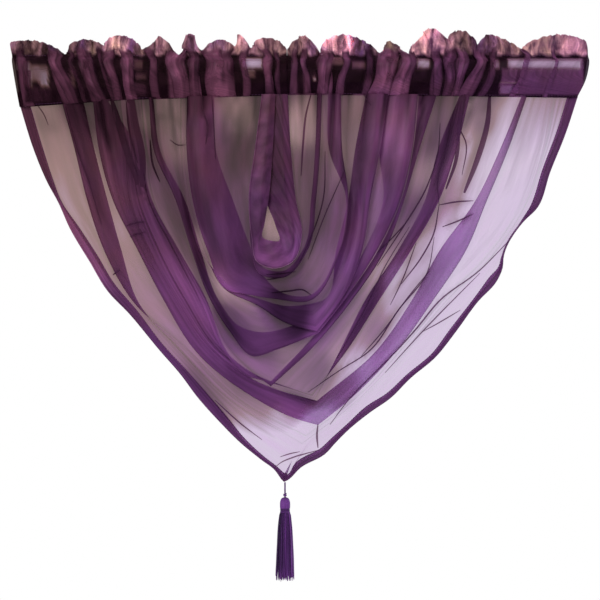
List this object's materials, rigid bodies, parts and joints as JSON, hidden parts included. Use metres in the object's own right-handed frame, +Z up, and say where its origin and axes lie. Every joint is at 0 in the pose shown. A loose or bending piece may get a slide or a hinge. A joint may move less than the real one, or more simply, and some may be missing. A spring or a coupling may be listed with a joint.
{
  "type": "voile swag drape with tassel on a rod",
  "caption": "Sheer voile swag gathered on a slim rod by a frilled slot heading, with draped cowl folds, a loop of heading in front and a tassel at its lowest corner.",
  "frame": {"origin": "on the rod's axis at its middle, where the rod is held", "axes": "+X along the rod to the right of somebody facing the drape, -Y towards them, +Z up"},
  "size_m": [0.5777, 0.0552, 0.5526],
  "materials": {
    "voile": "sheer plain weave, slight sheen",
    "thread": "silky twisted thread",
    "rod": "smooth white enamel"
  },
  "bodies": {
    "root": {"rod": "rod", "swag_panel": "voile", "heading_left": "voile", "heading_right": "voile", "heading_loop": "voile", "tassel_cord": "thread", "tassel": "thread"}
  },
  "joints": []
}
